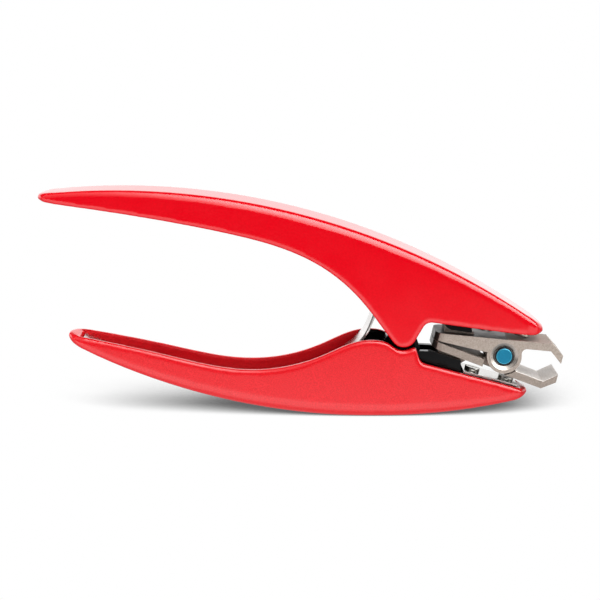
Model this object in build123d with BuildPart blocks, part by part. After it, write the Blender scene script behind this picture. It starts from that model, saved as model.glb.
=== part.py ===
"""Compound-lever hand cutter: two hinged channel handles, a pair of linked jaws and a leaf spring.

Millimetres. X runs from the handle tails to the jaws, Y across the tool, Z up. The handles are drawn
open, with the rear ends of the jaws together.
"""
import os
from math import cos, radians, sin, sqrt, tan

from build123d import *

os.makedirs("parts", exist_ok=True)

# Linkage: everything in the head is set out from the handle hinge
hinge_x = 27.5
hinge_z = 22.7
head_tilt = 13.2
jaw_pivot_reach = 28.0
link_reach = 12.5
link_rise = 6.5

# Handle backs: one arc each in side view
upper_back_radius = 195.0
upper_crest_x = -49.0
upper_crest_z = 61.3
upper_tail_x = -70.7
upper_nose_x = 65.8
lower_keel_radius = 177.0
lower_keel_x = 19.6
lower_tail_x = -63.3
lower_nose_x = 61.8
rest_flat_depth = 0.25
upper_foot_z = 8.0
lower_crown_z = 45.0

# Handle widths, walls and edges
beam = 17.8
beam_x = 18.6
tail_width = 12.4
nose_width = 12.6
nose_bulge = 4.6
tail_bulge = 4.2
end_flat = 0.4
end_steps = (0, 0.08, 0.25, 0.55, 1)
body_stations = 7
hollow_stations = 5
wall = 2.4
shell_back = 2.4
tail_back = 1.2
back_growth = 0.04
tail_wall = 3.6
upper_tail_solid = 14.4
nose_wall = 2.2
shoulder_radius = 2.3
keel_edge_radius = 3.4
end_shoulder = 1.0
shoulder_chords = 4
rim_break = 0.4
rib_thickness = 1.2
rib_depth = 1.6
rib_places = (-43.4, -26.4, -9.4, 7.6)

# Knob of the upper handle in the notch of the lower one
knob_radius = 3.5
knob_gap = 0.9
knob_rear_lean = 38.0
knob_front_lean = 30.0
throat_rise = 3.5
throat_radius = 2.4
notch_spread = 90.0
notch_corner = 0.6

# Side outlines: end depths, grip stations as (x, z), head stations as offsets from the hinge
upper_tail_depth = 1.9
lower_tail_depth = 2.0
upper_tail_slope = -0.12
lower_tail_slope = -0.2
upper_grip_under = (-21.4, 50.4)
upper_arch = (4.6, 41.6)
upper_arch_front_offset = (-11.3, 9.1)
upper_nose_depth = 2.6
lower_grip_rim = (-37.4, 17.0)
lower_valley = (-13.4, 12.9)
lower_rise = (6.0, 17.0)
lower_hump_offset = (-8.9, -1.5)
lower_throat_offset = (4.6, -7.8)
lower_nose_depth = 1.8
nose_turn_run = 3.0
nose_turn_radius = 6.0
nose_turn_angle = 50.0
overrun = 6.0

# Carriers: channels that hold the hinge and the link pins
carrier_rear_x = 14.6
carrier_front_x = 43.2
carrier_clear = 0.5
carrier_cheek = 2.0
carrier_web = 2.5
carrier_nose = 2.8
carrier_toe = (1.4, 4.0)
cheek_top_drop = 5.1
cheek_rear_drop = 7.7
cheek_rear_run = 5.0
cheek_front_run = 4.6
hinge_lug_rear = (6.2, 4.2)
hinge_lug_front = (5.4, 6.7)
hinge_lug_flare = (2.0, 1.0)
upper_cheek_rear = 5.4
upper_cheek_front = (4.3, 4.8)
upper_cheek_under = 4.3
arm_gap = 0.8
arm_swing_gap = 1.2
spring_block_front = 4.2
spring_block_slope = (1.6, 1.2)
lower_carrier_screw_insets = (2.3, 2.6)
upper_carrier_screw_offsets = (-1.8, 7.8)
lower_boss_height = 2.2
upper_seat_rise = 10.3
hinge_lug = 5.2
hinge_side_clear = 0.4
hinge_boss = 3.1
link_boss = 2.8
cheek_clear = 0.2
hinge_pin_radius = 1.6
hinge_pin_proud = 0.4
link_pin_radius = 1.25
pin_run = 0.05
pin_seat = 0.02
washer_play = 0.03
washer_inset = 0.2

# Jaws, from the jaw pivot along the head's axis and off it
jaw_width = 12.6
arm_reach = 19.5
arm_tail_rise = 2.1
arm_seam = 0.1
arm_corner = 3.0
bend_reach = 11.8
bend_rise = 6.3
edge_reach = 15.4
edge_rise = 1.5
edge_land = (15.38, 3.8)
inner_bend = (11.9, 4.25)
inner_root = (3.0, 3.05)
mouth_radius = 1.4
lower_arm_root = (-5.3, -2.0)
boss_radius = 4.7
boss_gap = 0.35
knuckle_radius = 3.6
knuckle_width = 5.2
ear_play = 0.35
jaw_pin_radius = 2.4
cap_ring = 0.2
cap_height = 0.7
cap_depth = 0.35
sink_radius = 3.8
sink_depth = 0.8
lug_radius = 2.5
lug_foot = 7.3
lug_heel = 1.4
lug_crown = (1.5, 2.0)
lug_root = 0.8

# Front plates, screws and spring
lower_plate_rise = 0.5
upper_plate_drop = 0.15
plate_thickness = 0.8
plate_clear = 0.25
lower_plate_gaps = (0.6, 1.0)
upper_plate_gaps = (1.3, 0.5)
plate_screw_inset = 2.9
screw_radius = 1.0
screw_head_radius = 2.1
screw_head_height = 1.4
screw_slot = 0.6
screw_boss_radius = 2.5
screw_length = 4.6
screw_tip_gap = 0.3
carrier_screw_grip = 3.2
plate_screw_length = 2.6
spring_screw_grip = 1.9
spring_thickness = 0.8
spring_clear = 0.3
spring_tail_gap = 4.0
spring_tail_lift = 0.2
spring_anchor = (-37.4, 12.8)
spring_low = (-13.4, 8.8)
spring_rise = (6.0, 13.4)
spring_bend_offset = (-11.7, -2.7)
spring_tip_offset = (-7.3, 6.2)
spring_tail_tilt = 1.12
spring_slopes = (-0.02, 0.42, 1.0, 2.6)
seat_gap = 0.2


def upper_back(x):
    """Height of the upper handle's back."""
    return upper_crest_z - upper_back_radius + sqrt(upper_back_radius**2 - (x - upper_crest_x) ** 2)


def lower_keel(x):
    """Height of the lower handle's underside."""
    return lower_keel_radius - sqrt(lower_keel_radius**2 - (x - lower_keel_x) ** 2) - rest_flat_depth


def half_width(x, tail_x, nose_x):
    """Half the handle's width, widest near the hinge and drawn in to both ends."""
    if x < beam_x:
        share = (beam_x - x) / (beam_x - tail_x)
        return beam / 2 - share**2 * (beam - tail_width) / 2
    share = (x - beam_x) / (nose_x - beam_x)
    return beam / 2 - share**2 * (beam - nose_width) / 2


def edge_radius(x, tail_x, nose_x, full):
    """Edge radius along a handle's back, smaller at the thin ends."""
    if x < beam_x:
        share = (beam_x - x) / (beam_x - tail_x)
        return full - share**2 * (full - end_shoulder)
    share = (x - beam_x) / (nose_x - beam_x)
    return full - share**2 * (full - end_shoulder)


def end_share(x, tail_x, nose_x):
    """Share of a handle's width that is left in its rounded ends, seen from above."""
    inset = max(0, 1 - (x - tail_x) / tail_bulge, 1 - (nose_x - x) / nose_bulge)
    return max(end_flat, sqrt(1 - inset**2))


def end_drop(x, tail_x, nose_x):
    """How far a handle's back is drawn in at the tips of its rounded ends."""
    inset = max(0, 1 - (x - tail_x) / end_shoulder, 1 - (nose_x - x) / end_shoulder)
    return end_shoulder * (1 - sqrt(1 - inset**2))


def rounded(side, level, radius, turn):
    """Right-hand edge round of a section in flat chords, from the side to the back (turn 1 is up)."""
    steps = [radians(90) * i / shoulder_chords for i in range(shoulder_chords + 1)]
    return [(side - radius + radius * cos(a), level + turn * radius * (sin(a) - 1)) for a in steps]


def section(x, tail_x, nose_x, back, full, turn):
    """Points of a handle's section from its back inwards (turn 1 where the back is on top)."""
    share = end_share(x, tail_x, nose_x)
    side = half_width(x, tail_x, nose_x) * share
    level = back(x) - turn * end_drop(x, tail_x, nose_x)
    right = rounded(side, level, edge_radius(x, tail_x, nose_x, full) * share, turn)
    left = [(-y, z) for y, z in reversed(right)]
    inner = upper_foot_z if turn > 0 else lower_crown_z
    return [(-side, inner), (side, inner), *right, *left]


def spans(tail_x, nose_x):
    """Places of a handle's sections: its tail end, its body and its nose end."""
    tail = [tail_x + tail_bulge * step for step in end_steps]
    nose = [nose_x - nose_bulge * step for step in reversed(end_steps)]
    return (tail, stations(tail[-1], nose[0], body_stations), nose)


def back_thickness(x, tail_x):
    """Thickness of a handle's back, thinner at the tail."""
    return min(shell_back, tail_back + back_growth * (x - tail_x))


def stations(start, end, count):
    """Evenly spaced places from start to end."""
    return [start + (end - start) * i / (count - 1) for i in range(count)]


def polar(radius, angle):
    """Point at a radius and an angle from the hinge in side view."""
    return (hinge_x + radius * cos(radians(angle)), hinge_z + radius * sin(radians(angle)))


def from_hinge(offset):
    """Point at an offset from the hinge in side view."""
    return (hinge_x + offset[0], hinge_z + offset[1])


def along(start, end, x):
    """Point at x on the line through start and end."""
    return (x, start[1] + (end[1] - start[1]) * (x - start[0]) / (end[0] - start[0]))


# Pivots of the head, and its side view from the jaw pivot
tilt_x = cos(radians(head_tilt))
tilt_z = -sin(radians(head_tilt))
jaw_pivot = (hinge_x + jaw_pivot_reach * tilt_x, hinge_z + jaw_pivot_reach * tilt_z)
jaw_side = Plane(origin=(jaw_pivot[0], 0, jaw_pivot[1]), x_dir=(tilt_x, 0, tilt_z), z_dir=(0, -1, 0))
link_foot = (hinge_x + link_reach * tilt_x, hinge_z + link_reach * tilt_z)
upper_link = (link_foot[0] - link_rise * tilt_z, link_foot[1] + link_rise * tilt_x)
lower_link = (link_foot[0] + link_rise * tilt_z, link_foot[1] - link_rise * tilt_x)
link_back = link_reach - jaw_pivot_reach
half_depth = beam
cut_reach = 2 * upper_crest_z


def jaw_point(reach, rise):
    """Point of the side view at a reach along the head's axis from the jaw pivot and a rise off it."""
    return (jaw_pivot[0] + reach * tilt_x - rise * tilt_z, jaw_pivot[1] + reach * tilt_z + rise * tilt_x)


def arm_edge(x, turn):
    """Height at x of the outer face of the upper (1) or lower (-1) jaw's arm."""
    return along(jaw_point(-arm_reach, turn * arm_tail_rise), jaw_point(bend_reach, turn * bend_rise), x)[1]


# Ends and head stations of the outlines
upper_tail_under = (upper_tail_x, upper_back(upper_tail_x) - upper_tail_depth)
upper_arch_front = from_hinge(upper_arch_front_offset)
upper_nose_under = (upper_nose_x, upper_back(upper_nose_x) - upper_nose_depth)
lower_tail_rim = (lower_tail_x, lower_keel(lower_tail_x) + lower_tail_depth)
lower_hump = from_hinge(lower_hump_offset)
lower_throat = from_hinge(lower_throat_offset)
lower_nose_rim = (lower_nose_x, lower_keel(lower_nose_x) + lower_nose_depth)

# Knob and notch points
rear_angle = 180 + knob_rear_lean
front_angle = 360 - knob_front_lean
knob_rear = polar(knob_radius, rear_angle)
knob_front = polar(knob_radius, front_angle)
knob_slope = (sin(radians(knob_rear_lean)), -cos(radians(knob_rear_lean)))
throat_z = hinge_z + throat_rise
throat = (knob_front[0] + (throat_z - knob_front[1]) * tan(radians(knob_front_lean)), throat_z)
nose_turn = along(throat, upper_nose_under, upper_nose_x - nose_turn_run)
notch_radius = knob_radius + knob_gap
notch_start = 270 - notch_spread / 2
notch_rear = polar(notch_radius, notch_start)
notch_front = polar(notch_radius, notch_start + notch_spread)
rim_out = along(lower_throat, lower_nose_rim, lower_nose_x + overrun)

# Front of the upper carrier, and widths inside the handles
upper_carrier_front = carrier_front_x + carrier_nose
carrier_half = half_width(carrier_front_x, lower_tail_x, lower_nose_x) - wall - carrier_clear
cheek_inside = carrier_half - carrier_cheek
hinge_lug_half = min(hinge_lug / 2, cheek_inside - hinge_side_clear)
washer_thickness = cheek_inside - hinge_lug_half - 2 * washer_play
link_lug_half = cheek_inside - cheek_clear

# Planes of the front plates, on their seats
lower_run = Vector(lower_nose_rim[0] - lower_throat[0], 0, lower_nose_rim[1] - lower_throat[1]).normalized()
lower_up = Vector(-lower_run.Z, 0, lower_run.X)
lower_plate_seat = Plane(
    origin=Vector(lower_throat[0], 0, lower_throat[1]) + lower_up * (lower_plate_rise - plate_thickness),
    x_dir=lower_run,
    z_dir=lower_up,
)
upper_run = Vector(upper_nose_under[0] - throat[0], 0, upper_nose_under[1] - throat[1]).normalized()
upper_down = Vector(upper_run.Z, 0, -upper_run.X)
upper_plate_seat = Plane(
    origin=Vector(throat[0], 0, throat[1]) - upper_down * (upper_plate_drop + plate_thickness),
    x_dir=upper_run,
    z_dir=upper_down,
)
lower_plate_span = (
    (carrier_front_x + lower_plate_gaps[0] - lower_throat[0]) / lower_run.X,
    (lower_nose_x - nose_wall - lower_plate_gaps[1] - lower_throat[0]) / lower_run.X,
)
upper_plate_span = (
    (upper_carrier_front + upper_plate_gaps[0] - throat[0]) / upper_run.X,
    (upper_nose_x - nose_wall - upper_plate_gaps[1] - throat[0]) / upper_run.X,
)
lower_plate_screw_x = (lower_plate_span[0] + plate_screw_inset, lower_plate_span[1] - plate_screw_inset)
upper_plate_screw_x = (upper_plate_span[0] + plate_screw_inset, upper_plate_span[1] - plate_screw_inset)

# Seats of the carriers and of the spring
lower_seat = shell_back + lower_boss_height
upper_seat = hinge_z + upper_seat_rise
lower_carrier_seat = Plane(origin=(0, 0, lower_seat), x_dir=(1, 0, 0), z_dir=(0, 0, 1))
upper_carrier_seat = Plane(origin=(0, 0, upper_seat), x_dir=(1, 0, 0), z_dir=(0, 0, -1))
lower_carrier_screw_x = (
    carrier_rear_x + lower_carrier_screw_insets[0],
    carrier_front_x - lower_carrier_screw_insets[1],
)
upper_carrier_screw_x = [hinge_x + offset for offset in upper_carrier_screw_offsets]
anchor_slope = (spring_anchor[0] - lower_keel_x) / lower_keel_radius
anchor_run = Vector(1, 0, anchor_slope).normalized()
anchor_up = Vector(-anchor_run.Z, 0, anchor_run.X)
spring_seat = Plane(
    origin=Vector(spring_anchor[0], 0, spring_anchor[1]) - anchor_up * (spring_thickness / 2),
    x_dir=anchor_run,
    z_dir=anchor_up,
)

# Leaf spring path: the points it passes and its direction at each
spring_tail_x = lower_tail_x + spring_tail_gap
spring_floor = lower_keel(spring_tail_x) + back_thickness(spring_tail_x, lower_tail_x)
spring_tail = (spring_tail_x, spring_floor + spring_tail_lift + spring_thickness / 2)
spring_bend = from_hinge(spring_bend_offset)
spring_tip = from_hinge(spring_tip_offset)
leaf_path = (spring_tail, spring_anchor, spring_low, spring_rise, spring_bend, spring_tip)
leaf_runs = (
    Vector(1, spring_tail_tilt * (spring_tail[0] - lower_keel_x) / lower_keel_radius).normalized(),
    Vector(anchor_run.X, anchor_run.Z),
    *[Vector(1, slope).normalized() for slope in spring_slopes],
)


def leaf_point(index, side):
    """Point on the upper (1) or lower (-1) face of the leaf spring."""
    run = leaf_runs[index]
    offset = side * spring_thickness / 2
    return (leaf_path[index][0] - run.Y * offset, leaf_path[index][1] + run.X * offset)


# Hollow of the upper handle, with its screw bosses and ribs left standing
with BuildPart() as upper_hollow:
    for x in stations(upper_tail_x + upper_tail_solid, upper_nose_x - nose_wall, hollow_stations):
        side = half_width(x, upper_tail_x, upper_nose_x) - wall
        top = upper_back(x) - back_thickness(x, upper_tail_x)
        with BuildSketch(Plane.YZ.offset(x)):
            with Locations((0, top)):
                Rectangle(2 * side, top - upper_foot_z + overrun, align=(Align.CENTER, Align.MAX))
    loft()
    with BuildSketch(upper_carrier_seat):
        with Locations([(x, 0) for x in upper_carrier_screw_x]):
            Circle(screw_boss_radius)
    extrude(amount=-cut_reach, mode=Mode.SUBTRACT)
    with BuildSketch(upper_plate_seat):
        with Locations([(x, 0) for x in upper_plate_screw_x]):
            Circle(screw_boss_radius)
    extrude(amount=-cut_reach, mode=Mode.SUBTRACT)
    for x in rib_places:
        rib_end = upper_back(x) - back_thickness(x, upper_tail_x) - rib_depth
        with BuildSketch(Plane.XY.offset(rib_end)):
            with Locations((x, 0)):
                Rectangle(rib_thickness, 2 * beam)
        extrude(amount=cut_reach, mode=Mode.SUBTRACT)

# Upper handle
with BuildPart() as upper_handle:
    for places in spans(upper_tail_x, upper_nose_x):
        for x in places:
            outline = section(x, upper_tail_x, upper_nose_x, upper_back, shoulder_radius, 1)
            with BuildSketch(Plane.YZ.offset(x)):
                with BuildLine():
                    Polyline(*outline, close=True)
                make_face()
        loft()
    with BuildSketch(Plane.XZ.offset(-half_depth)) as below_rim:
        with BuildLine():
            start = (upper_tail_under[0] - overrun, upper_tail_under[1] - upper_tail_slope * overrun)
            Spline(
                start,
                upper_tail_under,
                upper_grip_under,
                upper_arch,
                upper_arch_front,
                knob_rear,
                tangents=[(1, upper_tail_slope), knob_slope],
            )
            CenterArc((hinge_x, hinge_z), knob_radius, rear_angle, front_angle - rear_angle)
            Polyline(knob_front, throat, nose_turn)
            turn_up = JernArc(nose_turn, (upper_run.X, upper_run.Z), nose_turn_radius, nose_turn_angle)
            nose_out = turn_up @ 1
            Polyline(nose_out, (nose_out.X, 0), (start[0], 0), start)
        make_face()
        fillet(below_rim.vertices().sort_by_distance(throat)[0], throat_radius)
    extrude(amount=2 * half_depth, mode=Mode.SUBTRACT)
    under = upper_handle.faces().filter_by(lambda f: f.normal_at().Z < -0.1)
    chamfer(under.edges().filter_by(lambda e: abs(e.center().Y) > tail_width / 4), rim_break)
    add(upper_hollow.part, mode=Mode.SUBTRACT)
    with BuildSketch(upper_carrier_seat):
        with Locations([(x, 0) for x in upper_carrier_screw_x]):
            Circle(screw_radius + pin_seat)
    extrude(amount=-screw_length, mode=Mode.SUBTRACT)
    with BuildSketch(upper_plate_seat):
        with Locations([(x, 0) for x in upper_plate_screw_x]):
            Circle(screw_radius + pin_seat)
    extrude(amount=-plate_screw_length, mode=Mode.SUBTRACT)
upper_handle.part.label = "upper_handle"
export_step(upper_handle.part, "parts/upper_handle.step")

# Hollow of the lower handle, with its screw bosses left standing
with BuildPart() as lower_hollow:
    for x in stations(lower_tail_x + tail_wall, lower_nose_x - nose_wall, hollow_stations):
        side = half_width(x, lower_tail_x, lower_nose_x) - wall
        bottom = lower_keel(x) + back_thickness(x, lower_tail_x)
        with BuildSketch(Plane.YZ.offset(x)):
            with Locations((0, bottom)):
                Rectangle(2 * side, lower_crown_z - bottom + overrun, align=(Align.CENTER, Align.MIN))
    loft()
    with BuildSketch(lower_carrier_seat):
        with Locations([(x, 0) for x in lower_carrier_screw_x]):
            Circle(screw_boss_radius)
    extrude(amount=-cut_reach, mode=Mode.SUBTRACT)
    with BuildSketch(lower_plate_seat):
        with Locations([(x, 0) for x in lower_plate_screw_x]):
            Circle(screw_boss_radius)
    extrude(amount=-cut_reach, mode=Mode.SUBTRACT)
    with BuildSketch(spring_seat):
        Circle(screw_boss_radius)
    extrude(amount=-cut_reach, mode=Mode.SUBTRACT)

# Lower handle
with BuildPart() as lower_handle:
    for places in spans(lower_tail_x, lower_nose_x):
        for x in places:
            outline = section(x, lower_tail_x, lower_nose_x, lower_keel, keel_edge_radius, -1)
            with BuildSketch(Plane.YZ.offset(x)):
                with BuildLine():
                    Polyline(*outline, close=True)
                make_face()
        loft()
    split(bisect_by=Plane.XY, keep=Keep.TOP)
    with BuildSketch(Plane.XZ.offset(-half_depth)) as above_rim:
        with BuildLine():
            top_z = lower_crown_z + overrun
            start = (lower_tail_rim[0] - overrun, lower_tail_rim[1] - lower_tail_slope * overrun)
            Spline(
                start,
                lower_tail_rim,
                lower_grip_rim,
                lower_valley,
                lower_rise,
                lower_hump,
                notch_rear,
                tangents=[(1, lower_tail_slope), (1, -1)],
            )
            CenterArc((hinge_x, hinge_z), notch_radius, notch_start, notch_spread)
            Polyline(notch_front, lower_throat, rim_out, (rim_out[0], top_z), (start[0], top_z), start)
        make_face()
        fillet(above_rim.vertices().sort_by_distance(notch_front)[0], notch_corner)
        fillet(above_rim.vertices().sort_by_distance(lower_throat)[0], throat_radius)
    extrude(amount=2 * half_depth, mode=Mode.SUBTRACT)
    over = lower_handle.faces().filter_by(lambda f: f.normal_at().Z > 0.1)
    chamfer(over.edges().filter_by(lambda e: abs(e.center().Y) > tail_width / 4), rim_break)
    add(lower_hollow.part, mode=Mode.SUBTRACT)
    with BuildSketch(lower_carrier_seat):
        with Locations([(x, 0) for x in lower_carrier_screw_x]):
            Circle(screw_radius + pin_seat)
    extrude(amount=-carrier_screw_grip, mode=Mode.SUBTRACT)
    with BuildSketch(lower_plate_seat):
        with Locations([(x, 0) for x in lower_plate_screw_x]):
            Circle(screw_radius + pin_seat)
    extrude(amount=-plate_screw_length, mode=Mode.SUBTRACT)
    with BuildSketch(spring_seat):
        Circle(screw_radius + pin_seat)
    extrude(amount=-spring_screw_grip, mode=Mode.SUBTRACT)
lower_handle.part.label = "lower_handle"
export_step(lower_handle.part, "parts/lower_handle.step")

# Lower carrier: base, two cheeks with the link ears, and the hinge lug between them
with BuildPart() as lower_carrier:
    with BuildSketch(Plane.XZ.offset(-carrier_half)):
        with BuildLine():
            Polyline(
                (carrier_rear_x, lower_seat),
                (carrier_rear_x, hinge_z - cheek_rear_drop),
                (carrier_rear_x + cheek_rear_run, hinge_z - cheek_top_drop),
                (hinge_x + cheek_front_run, hinge_z - cheek_top_drop),
                (lower_link[0] - link_boss, arm_edge(lower_link[0] - link_boss, -1) - arm_swing_gap),
                (carrier_front_x, arm_edge(carrier_front_x, -1) - arm_gap),
                (carrier_front_x, lower_seat + carrier_toe[1]),
                (carrier_front_x - carrier_toe[0], lower_seat),
                close=True,
            )
        make_face()
    extrude(amount=2 * carrier_half)
    with BuildSketch(Plane.XY.offset(lower_seat + carrier_web)):
        Rectangle(4 * cut_reach, 2 * cheek_inside)
    extrude(amount=cut_reach, mode=Mode.SUBTRACT)
    with BuildSketch(Plane.XZ.offset(-hinge_lug_half)):
        with BuildLine():
            Polyline(
                (hinge_x - hinge_lug_rear[0] - hinge_lug_flare[0], lower_seat),
                (hinge_x - hinge_lug_rear[0], hinge_z - hinge_lug_rear[1]),
                (hinge_x - hinge_boss, hinge_z),
                (hinge_x + hinge_boss, hinge_z),
                (hinge_x + hinge_lug_front[0], hinge_z - hinge_lug_front[1]),
                (hinge_x + hinge_lug_front[0] + hinge_lug_flare[1], lower_seat),
                close=True,
            )
        make_face()
        with Locations((hinge_x, hinge_z)):
            Circle(hinge_boss)
    extrude(amount=2 * hinge_lug_half)
    with BuildSketch(Plane.XZ.offset(-half_depth)):
        with Locations((hinge_x, hinge_z)):
            Circle(hinge_pin_radius + pin_run)
        with Locations(lower_link):
            Circle(link_pin_radius + pin_seat)
    extrude(amount=2 * half_depth, mode=Mode.SUBTRACT)
    with BuildSketch(lower_carrier_seat):
        with Locations([(x, 0) for x in lower_carrier_screw_x]):
            Circle(screw_radius + pin_seat)
    extrude(amount=carrier_web, mode=Mode.SUBTRACT)
lower_carrier.part.label = "lower_carrier"
export_step(lower_carrier.part, "parts/lower_carrier.step")

# Upper carrier: web, two cheeks with the hinge and link ears, and the seat of the spring
with BuildPart() as upper_carrier:
    with BuildSketch(Plane.XZ.offset(-carrier_half)):
        with BuildLine():
            Polyline(
                (hinge_x - upper_cheek_rear, upper_seat),
                (hinge_x - hinge_boss, hinge_z),
                (hinge_x + hinge_boss, hinge_z),
                (hinge_x + upper_cheek_front[0], hinge_z + upper_cheek_front[1]),
                (upper_link[0] - link_boss, hinge_z + upper_cheek_under),
                (upper_link[0] - link_boss, upper_link[1]),
                (upper_link[0], upper_link[1] - link_boss),
                (upper_carrier_front, arm_edge(upper_carrier_front, 1) + arm_gap),
                (upper_carrier_front, upper_seat),
                close=True,
            )
        make_face()
        with Locations((hinge_x, hinge_z)):
            Circle(hinge_boss)
        with Locations(upper_link):
            Circle(link_boss)
    extrude(amount=2 * carrier_half)
    with BuildSketch(Plane.XY.offset(upper_seat - carrier_web)):
        Rectangle(4 * cut_reach, 2 * cheek_inside)
    extrude(amount=-cut_reach, mode=Mode.SUBTRACT)
    with BuildSketch(Plane.XZ.offset(-carrier_half)):
        with BuildLine():
            run, drop = spring_block_slope
            seat_up = Vector(drop, run).normalized() * (spring_thickness / 2 + seat_gap)
            seat = Vector(spring_tip[0], spring_tip[1]) + seat_up
            Polyline(
                (seat.X - run, seat.Y + drop),
                (seat.X + run, seat.Y - drop),
                (hinge_x - spring_block_front, seat.Y - drop),
                (hinge_x - spring_block_front, upper_seat),
                (seat.X - run, upper_seat),
                close=True,
            )
        make_face()
    extrude(amount=2 * carrier_half)
    with BuildSketch(Plane.XZ.offset(-half_depth)):
        with Locations((hinge_x, hinge_z)):
            Circle(hinge_pin_radius + pin_seat)
        with Locations(upper_link):
            Circle(link_pin_radius + pin_seat)
    extrude(amount=2 * half_depth, mode=Mode.SUBTRACT)
    with BuildSketch(upper_carrier_seat):
        with Locations([(x, 0) for x in upper_carrier_screw_x]):
            Circle(screw_radius + pin_seat)
    extrude(amount=carrier_web, mode=Mode.SUBTRACT)
upper_carrier.part.label = "upper_carrier"
export_step(upper_carrier.part, "parts/upper_carrier.step")

# Front plates
with BuildPart() as lower_front_plate:
    with BuildSketch(lower_plate_seat):
        with BuildLine():
            rear, front = lower_plate_span
            rear_x = lower_throat[0] + rear * lower_run.X
            front_x = lower_throat[0] + front * lower_run.X
            rear_y = half_width(rear_x, lower_tail_x, lower_nose_x) - wall - plate_clear
            front_y = half_width(front_x, lower_tail_x, lower_nose_x) - wall - plate_clear
            Polyline((rear, -rear_y), (front, -front_y), (front, front_y), (rear, rear_y), close=True)
        make_face()
        with Locations([(x, 0) for x in lower_plate_screw_x]):
            Circle(screw_radius + pin_seat, mode=Mode.SUBTRACT)
    extrude(amount=plate_thickness)
lower_front_plate.part.label = "lower_front_plate"
export_step(lower_front_plate.part, "parts/lower_front_plate.step")

with BuildPart() as upper_front_plate:
    with BuildSketch(upper_plate_seat):
        with BuildLine():
            rear, front = upper_plate_span
            rear_x = throat[0] + rear * upper_run.X
            front_x = throat[0] + front * upper_run.X
            rear_y = half_width(rear_x, upper_tail_x, upper_nose_x) - wall - plate_clear
            front_y = half_width(front_x, upper_tail_x, upper_nose_x) - wall - plate_clear
            Polyline((rear, -rear_y), (front, -front_y), (front, front_y), (rear, rear_y), close=True)
        make_face()
        with Locations([(x, 0) for x in upper_plate_screw_x]):
            Circle(screw_radius + pin_seat, mode=Mode.SUBTRACT)
    extrude(amount=plate_thickness)
upper_front_plate.part.label = "upper_front_plate"
export_step(upper_front_plate.part, "parts/upper_front_plate.step")

# Slotted screws: shank, head and slot, on the seat of each piece they hold
screw_sets = (
    ("lower_carrier_screws", lower_carrier_seat, lower_carrier_screw_x, carrier_web, carrier_screw_grip),
    ("upper_carrier_screws", upper_carrier_seat, upper_carrier_screw_x, carrier_web, screw_length),
    ("lower_plate_screws", lower_plate_seat, lower_plate_screw_x, plate_thickness, plate_screw_length),
    ("upper_plate_screws", upper_plate_seat, upper_plate_screw_x, plate_thickness, plate_screw_length),
    ("spring_screw", spring_seat, (0,), spring_thickness + pin_seat, spring_screw_grip),
)
for label, seat_plane, places, clamped, hole_depth in screw_sets:
    head_top = clamped + screw_head_height
    grip = hole_depth - screw_tip_gap
    with BuildPart() as screws:
        with BuildSketch(seat_plane.offset(-grip)):
            with Locations([(x, 0) for x in places]):
                Circle(screw_radius)
        extrude(amount=grip + clamped)
        with BuildSketch(seat_plane.offset(clamped)):
            with Locations([(x, 0) for x in places]):
                Circle(screw_head_radius)
        extrude(amount=screw_head_height)
        with BuildSketch(seat_plane.offset(head_top)):
            with Locations([(x, 0) for x in places]):
                Rectangle(3 * screw_head_radius, screw_slot)
        extrude(amount=-screw_slot, mode=Mode.SUBTRACT)
    screws.part.label = label
    export_step(screws.part, f"parts/{label}.step")

# Pins and washers of the handles
with BuildPart() as hinge_pin:
    with BuildSketch(Plane.XZ.offset(-carrier_half - hinge_pin_proud)):
        with Locations((hinge_x, hinge_z)):
            Circle(hinge_pin_radius)
    extrude(amount=2 * (carrier_half + hinge_pin_proud))
hinge_pin.part.label = "hinge_pin"
export_step(hinge_pin.part, "parts/hinge_pin.step")

with BuildPart() as hinge_washers:
    for inside in (-cheek_inside + washer_play, hinge_lug_half + washer_play):
        with BuildSketch(Plane.XZ.offset(inside)):
            with Locations((hinge_x, hinge_z)):
                Circle(hinge_boss - washer_inset)
                Circle(hinge_pin_radius + 3 * pin_run, mode=Mode.SUBTRACT)
        extrude(amount=washer_thickness)
hinge_washers.part.label = "hinge_washers"
export_step(hinge_washers.part, "parts/hinge_washers.step")

for label, place in (("upper_link_pin", upper_link), ("lower_link_pin", lower_link)):
    with BuildPart() as link_pin:
        with BuildSketch(Plane.XZ.offset(-carrier_half)):
            with Locations(place):
                Circle(link_pin_radius)
        extrude(amount=2 * carrier_half)
    link_pin.part.label = label
    export_step(link_pin.part, f"parts/{label}.step")

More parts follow.
